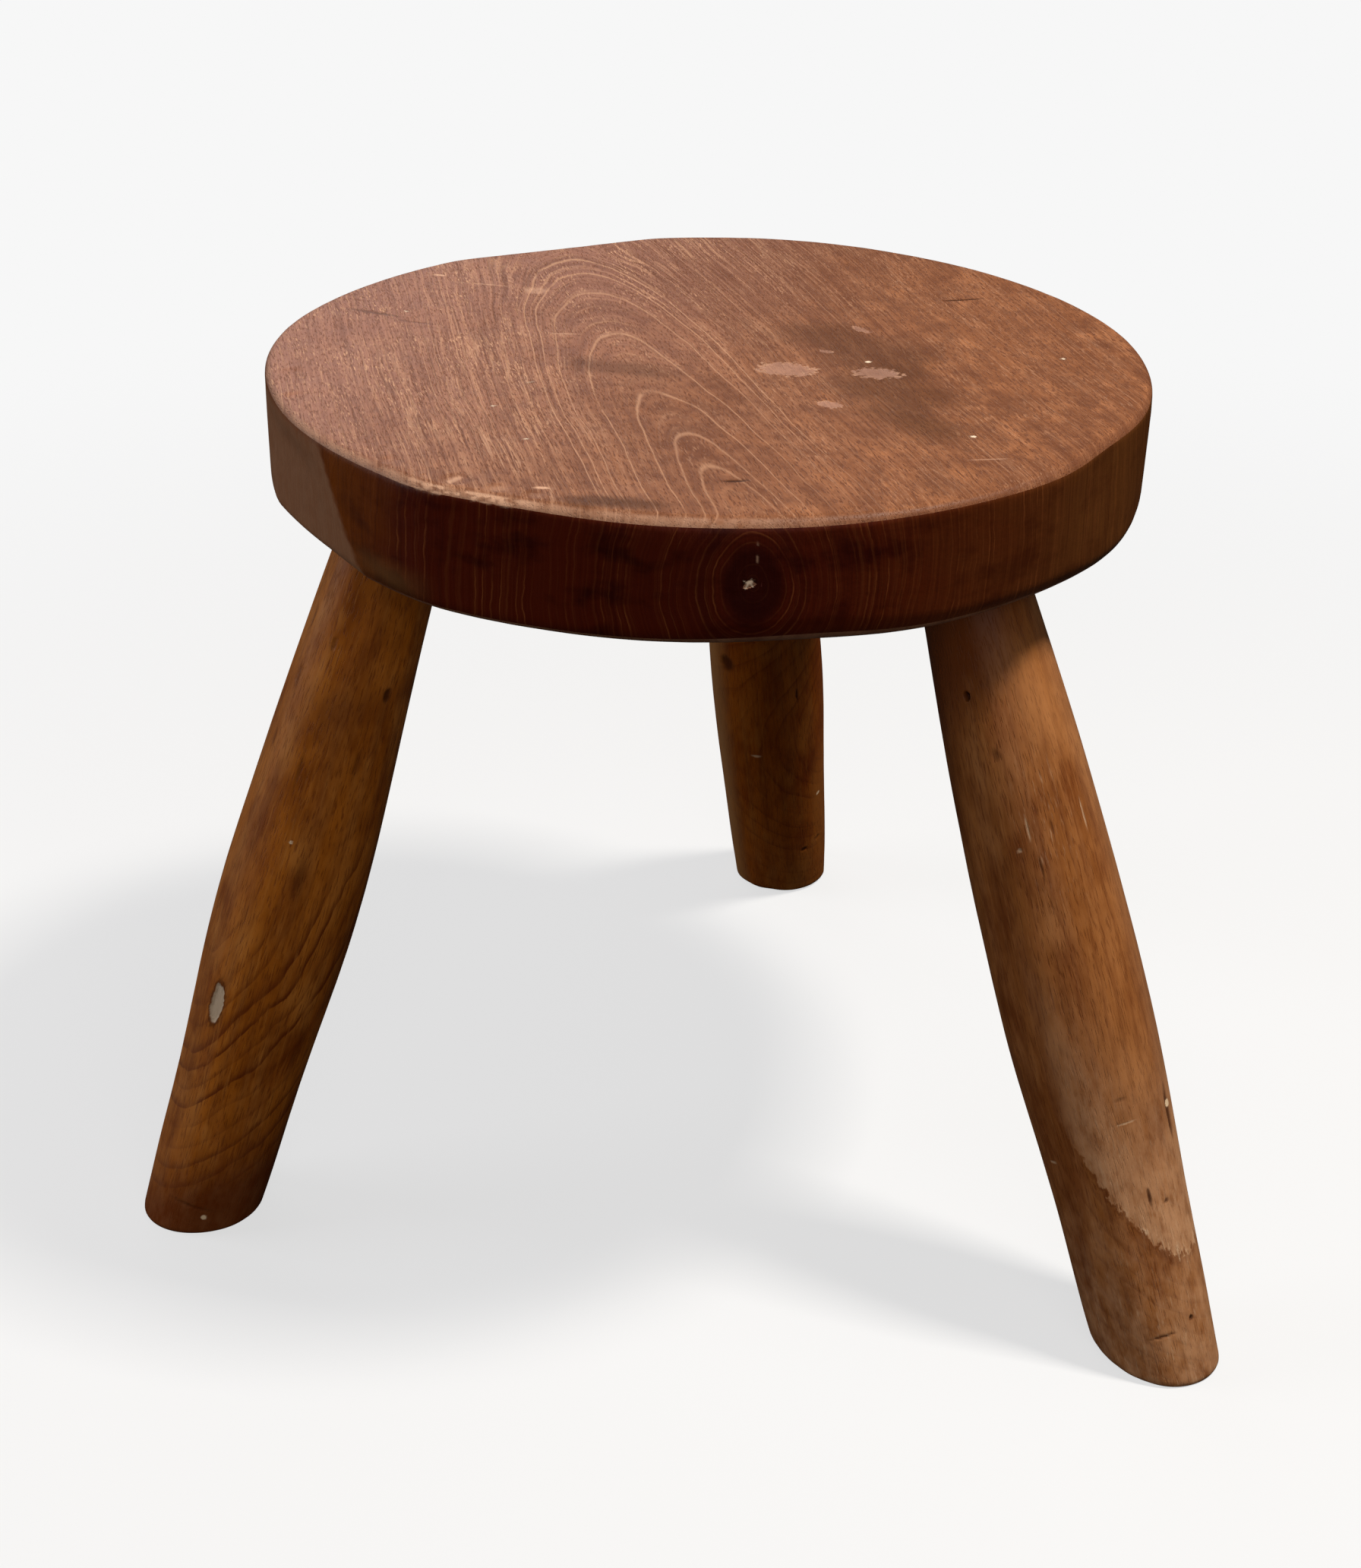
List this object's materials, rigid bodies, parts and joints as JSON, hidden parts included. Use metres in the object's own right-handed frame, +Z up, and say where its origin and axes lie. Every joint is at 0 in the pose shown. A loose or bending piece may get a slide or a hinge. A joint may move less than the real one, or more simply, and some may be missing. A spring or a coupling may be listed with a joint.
{
  "type": "milking stool",
  "caption": "Low round milking stool: a thick wooden slab seat on splayed, bellied round legs held in blind wedged mortises.",
  "frame": {"origin": "on the floor, at the centre of the stool's footprint box; the seat's axis stands at x = -7.6 mm, y = -39.1 mm", "axes": "+Z up; +Y towards the rear leg, with the two front legs towards -Y; +X to the right seen from the front"},
  "size_m": [0.4257, 0.4007, 0.3355],
  "materials": {
    "seat_wood": "worn reddish-brown hardwood, waxed to a soft sheen",
    "leg_wood": "hand-shaved brown hardwood, dry and rubbed, greyer at the feet",
    "wedge_wood": "raw split hardwood"
  },
  "bodies": {
    "root": {"seat": "seat_wood", "leg_front_left": "leg_wood", "leg_front_right": "leg_wood", "leg_rear": "leg_wood", "wedge_front_left": "wedge_wood", "wedge_front_right": "wedge_wood", "wedge_rear": "wedge_wood"}
  },
  "joints": []
}
